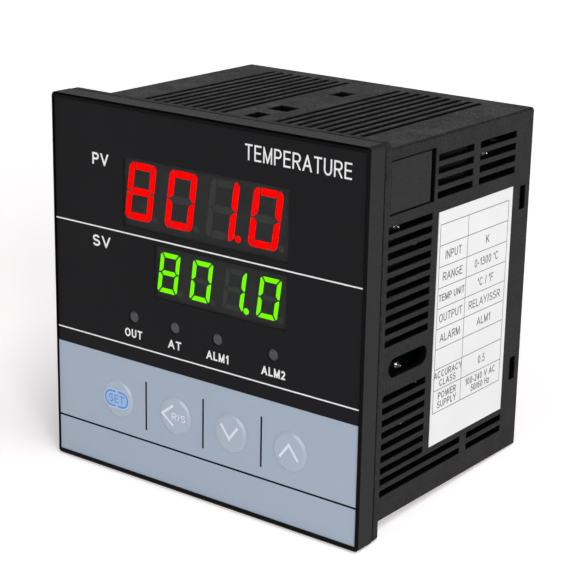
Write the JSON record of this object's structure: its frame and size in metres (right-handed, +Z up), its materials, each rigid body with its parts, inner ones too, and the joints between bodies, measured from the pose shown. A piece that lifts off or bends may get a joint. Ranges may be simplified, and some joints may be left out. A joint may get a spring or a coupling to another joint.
{
  "type": "pid temperature controller",
  "caption": "Square panel-mount temperature controller with a flat printed front, digit displays, indicator lamps, round press keys, a vented case and rear screw terminals.",
  "frame": {"origin": "middle of the panel seat, the rear face of the case flange that lies against the front of the panel", "axes": "+Y into the panel, towards the terminals; +Z up; +X to the right of someone who reads the display"},
  "size_m": [0.096, 0.0764, 0.096],
  "materials": {
    "case_plastic": "fine matt texture",
    "bezel_plastic": "smooth, semi-gloss",
    "front_film": "printed polyester film, satin",
    "key_film": "printed polyester film, satin",
    "label_film": "coated label stock",
    "terminal_plastic": "fine matt texture",
    "terminal_metal": "tin-plated where wired",
    "screw_metal": "zinc plated",
    "board_laminate": "solder resist over copper",
    "solder": "bright tin solder",
    "display_body": "dark face, epoxy filled",
    "red_segments": "diffused epoxy, lit",
    "green_segments": "diffused epoxy, lit",
    "lamp_epoxy": "diffused epoxy, unlit",
    "switch_plastic": "moulded",
    "component_black": "moulded",
    "relay_plastic": "moulded",
    "capacitor_sleeve": "shrink sleeve",
    "filter_plastic": "moulded",
    "absorber_epoxy": "dipped epoxy",
    "ferrite": "pressed ferrite",
    "bobbin_plastic": "moulded",
    "winding_tape": "taped copper winding",
    "crystal_metal": "drawn can"
  },
  "bodies": {
    "housing": {"alarm_1_lamp": "lamp_epoxy", "alarm_2_lamp": "lamp_epoxy", "alarm_relays": "relay_plastic", "amplifier_chip": "component_black", "autotune_lamp": "lamp_epoxy", "bulk_capacitor": "capacitor_sleeve", "case_shell": "case_plastic", "controller_chip": "component_black", "crystal": "crystal_metal", "display_board": "board_laminate", "display_board_screws": "screw_metal", "front_bezel": "bezel_plastic", "front_overlay": "front_film", "input_board": "board_laminate", "input_board_solder": "solder", "input_capacitors": "capacitor_sleeve", "input_header": "component_black", "isolator": "component_black", "key_switches": "switch_plastic", "left_terminal_block": "terminal_plastic", "line_filter_capacitor": "filter_plastic", "mains_fuse": "component_black", "output_capacitors": "capacitor_sleeve", "output_lamp": "lamp_epoxy", "output_relay": "relay_plastic", "power_board": "board_laminate", "power_board_solder": "solder", "power_header": "component_black", "pv_display_case": "display_body", "pv_segments": "red_segments", "rating_label": "label_film", "rear_cover": "case_plastic", "rectifier": "component_black", "right_terminal_block": "terminal_plastic", "surge_absorber": "absorber_epoxy", "sv_display_case": "display_body", "sv_segments": "green_segments", "terminal_clamps": "screw_metal", "terminal_screws": "screw_metal", "terminal_strips": "terminal_metal", "transformer_bobbin": "bobbin_plastic", "transformer_core": "ferrite", "transformer_winding": "winding_tape"},
    "set_button": {"set_key": "key_film", "set_plunger": "switch_plastic"},
    "shift_button": {"shift_key": "key_film", "shift_plunger": "switch_plastic"},
    "down_button": {"down_key": "key_film", "down_plunger": "switch_plastic"},
    "up_button": {"up_key": "key_film", "up_plunger": "switch_plastic"}
  },
  "joints": [
    {"name": "set_press", "type": "slide", "parent": "housing", "child": "set_button", "axis": [0, 1, 0], "range_m": [0, 0.0004], "stiffness_N_per_m": 4000},
    {"name": "shift_press", "type": "slide", "parent": "housing", "child": "shift_button", "axis": [0, 1, 0], "range_m": [0, 0.0004], "stiffness_N_per_m": 4000},
    {"name": "down_press", "type": "slide", "parent": "housing", "child": "down_button", "axis": [0, 1, 0], "range_m": [0, 0.0004], "stiffness_N_per_m": 4000},
    {"name": "up_press", "type": "slide", "parent": "housing", "child": "up_button", "axis": [0, 1, 0], "range_m": [0, 0.0004], "stiffness_N_per_m": 4000}
  ]
}
